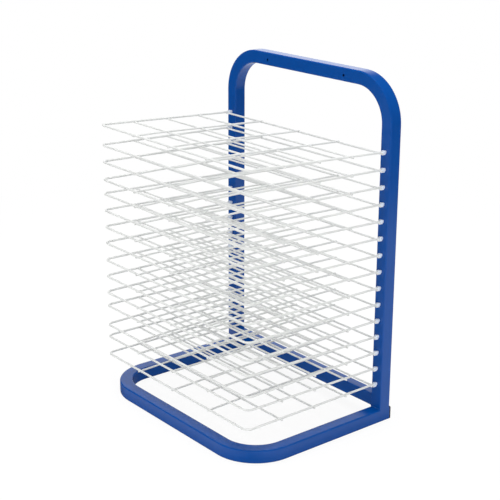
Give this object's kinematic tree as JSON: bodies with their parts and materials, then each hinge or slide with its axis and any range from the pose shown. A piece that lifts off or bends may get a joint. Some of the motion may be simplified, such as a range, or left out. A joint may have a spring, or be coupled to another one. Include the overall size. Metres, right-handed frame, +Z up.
{
  "type": "art drying rack",
  "caption": "Table-top drying rack for flat sheets: bent square-tube frame with a stack of hinged welded-wire shelves that lift at the front.",
  "frame": {"origin": "centre of the footprint, on the surface the base stands on", "axes": "+X to the right seen from the front, -Y the open front where sheets go in, +Y the upright frame at the back, +Z up"},
  "size_m": [0.46, 0.344, 0.65],
  "materials": {
    "blue_powder_coat": "semi-gloss royal blue powder coat on steel tube",
    "white_coated_wire": "satin white coating on welded steel wire",
    "white_plastic": "moulded white nylon",
    "black_plastic": "moulded black polyethylene"
  },
  "bodies": {
    "frame": {"upright_frame": "blue_powder_coat", "base_frame": "blue_powder_coat", "rear_rail": "blue_powder_coat", "left_end_cap": "black_plastic", "right_end_cap": "black_plastic", "left_hinge_clips": "white_plastic", "right_hinge_clips": "white_plastic"},
    "shelf_01": {"shelf_01_rim": "white_coated_wire", "shelf_01_pivot_wire": "white_coated_wire", "shelf_01_grid": "white_coated_wire"},
    "shelf_02": {"shelf_02_rim": "white_coated_wire", "shelf_02_pivot_wire": "white_coated_wire", "shelf_02_grid": "white_coated_wire"},
    "shelf_03": {"shelf_03_rim": "white_coated_wire", "shelf_03_pivot_wire": "white_coated_wire", "shelf_03_grid": "white_coated_wire"},
    "shelf_04": {"shelf_04_rim": "white_coated_wire", "shelf_04_pivot_wire": "white_coated_wire", "shelf_04_grid": "white_coated_wire"},
    "shelf_05": {"shelf_05_rim": "white_coated_wire", "shelf_05_pivot_wire": "white_coated_wire", "shelf_05_grid": "white_coated_wire"},
    "shelf_06": {"shelf_06_rim": "white_coated_wire", "shelf_06_pivot_wire": "white_coated_wire", "shelf_06_grid": "white_coated_wire"},
    "shelf_07": {"shelf_07_rim": "white_coated_wire", "shelf_07_pivot_wire": "white_coated_wire", "shelf_07_grid": "white_coated_wire"},
    "shelf_08": {"shelf_08_rim": "white_coated_wire", "shelf_08_pivot_wire": "white_coated_wire", "shelf_08_grid": "white_coated_wire"},
    "shelf_09": {"shelf_09_rim": "white_coated_wire", "shelf_09_pivot_wire": "white_coated_wire", "shelf_09_grid": "white_coated_wire"},
    "shelf_10": {"shelf_10_rim": "white_coated_wire", "shelf_10_pivot_wire": "white_coated_wire", "shelf_10_grid": "white_coated_wire"},
    "shelf_11": {"shelf_11_rim": "white_coated_wire", "shelf_11_pivot_wire": "white_coated_wire", "shelf_11_grid": "white_coated_wire"},
    "shelf_12": {"shelf_12_rim": "white_coated_wire", "shelf_12_pivot_wire": "white_coated_wire", "shelf_12_grid": "white_coated_wire"},
    "shelf_13": {"shelf_13_rim": "white_coated_wire", "shelf_13_pivot_wire": "white_coated_wire", "shelf_13_grid": "white_coated_wire"},
    "shelf_14": {"shelf_14_rim": "white_coated_wire", "shelf_14_pivot_wire": "white_coated_wire", "shelf_14_grid": "white_coated_wire"},
    "shelf_15": {"shelf_15_rim": "white_coated_wire", "shelf_15_pivot_wire": "white_coated_wire", "shelf_15_grid": "white_coated_wire"}
  },
  "joints": [
    {"name": "shelf_01_hinge", "type": "hinge", "parent": "frame", "child": "shelf_01", "pos_m": [0, 0.134, 0.5157], "axis": [-1, 0, 0], "range_deg": [0, 70]},
    {"name": "shelf_02_hinge", "type": "hinge", "parent": "frame", "child": "shelf_02", "pos_m": [0, 0.134, 0.48415], "axis": [-1, 0, 0], "range_deg": [0, 68]},
    {"name": "shelf_03_hinge", "type": "hinge", "parent": "frame", "child": "shelf_03", "pos_m": [0, 0.134, 0.4526], "axis": [-1, 0, 0], "range_deg": [0, 66]},
    {"name": "shelf_04_hinge", "type": "hinge", "parent": "frame", "child": "shelf_04", "pos_m": [0, 0.134, 0.42105], "axis": [-1, 0, 0], "range_deg": [0, 64]},
    {"name": "shelf_05_hinge", "type": "hinge", "parent": "frame", "child": "shelf_05", "pos_m": [0, 0.134, 0.3895], "axis": [-1, 0, 0], "range_deg": [0, 62]},
    {"name": "shelf_06_hinge", "type": "hinge", "parent": "frame", "child": "shelf_06", "pos_m": [0, 0.134, 0.35795], "axis": [-1, 0, 0], "range_deg": [0, 60]},
    {"name": "shelf_07_hinge", "type": "hinge", "parent": "frame", "child": "shelf_07", "pos_m": [0, 0.134, 0.3264], "axis": [-1, 0, 0], "range_deg": [0, 58]},
    {"name": "shelf_08_hinge", "type": "hinge", "parent": "frame", "child": "shelf_08", "pos_m": [0, 0.134, 0.29485], "axis": [-1, 0, 0], "range_deg": [0, 56]},
    {"name": "shelf_09_hinge", "type": "hinge", "parent": "frame", "child": "shelf_09", "pos_m": [0, 0.134, 0.2633], "axis": [-1, 0, 0], "range_deg": [0, 54]},
    {"name": "shelf_10_hinge", "type": "hinge", "parent": "frame", "child": "shelf_10", "pos_m": [0, 0.134, 0.23175], "axis": [-1, 0, 0], "range_deg": [0, 52]},
    {"name": "shelf_11_hinge", "type": "hinge", "parent": "frame", "child": "shelf_11", "pos_m": [0, 0.134, 0.2002], "axis": [-1, 0, 0], "range_deg": [0, 50]},
    {"name": "shelf_12_hinge", "type": "hinge", "parent": "frame", "child": "shelf_12", "pos_m": [0, 0.134, 0.16865], "axis": [-1, 0, 0], "range_deg": [0, 48]},
    {"name": "shelf_13_hinge", "type": "hinge", "parent": "frame", "child": "shelf_13", "pos_m": [0, 0.134, 0.1371], "axis": [-1, 0, 0], "range_deg": [0, 46]},
    {"name": "shelf_14_hinge", "type": "hinge", "parent": "frame", "child": "shelf_14", "pos_m": [0, 0.134, 0.10555], "axis": [-1, 0, 0], "range_deg": [0, 44]},
    {"name": "shelf_15_hinge", "type": "hinge", "parent": "frame", "child": "shelf_15", "pos_m": [0, 0.134, 0.074], "axis": [-1, 0, 0], "range_deg": [0, 42]}
  ],
  "couplings": [
    {"joint": "shelf_02_hinge", "follows": "shelf_01_hinge", "ratio": 0.97143},
    {"joint": "shelf_03_hinge", "follows": "shelf_01_hinge", "ratio": 0.94286},
    {"joint": "shelf_04_hinge", "follows": "shelf_01_hinge", "ratio": 0.91429},
    {"joint": "shelf_05_hinge", "follows": "shelf_01_hinge", "ratio": 0.88571},
    {"joint": "shelf_06_hinge", "follows": "shelf_01_hinge", "ratio": 0.85714},
    {"joint": "shelf_07_hinge", "follows": "shelf_01_hinge", "ratio": 0.82857},
    {"joint": "shelf_08_hinge", "follows": "shelf_01_hinge", "ratio": 0.8},
    {"joint": "shelf_09_hinge", "follows": "shelf_01_hinge", "ratio": 0.77143},
    {"joint": "shelf_10_hinge", "follows": "shelf_01_hinge", "ratio": 0.74286},
    {"joint": "shelf_11_hinge", "follows": "shelf_01_hinge", "ratio": 0.71429},
    {"joint": "shelf_12_hinge", "follows": "shelf_01_hinge", "ratio": 0.68571},
    {"joint": "shelf_13_hinge", "follows": "shelf_01_hinge", "ratio": 0.65714},
    {"joint": "shelf_14_hinge", "follows": "shelf_01_hinge", "ratio": 0.62857},
    {"joint": "shelf_15_hinge", "follows": "shelf_01_hinge", "ratio": 0.6}
  ]
}
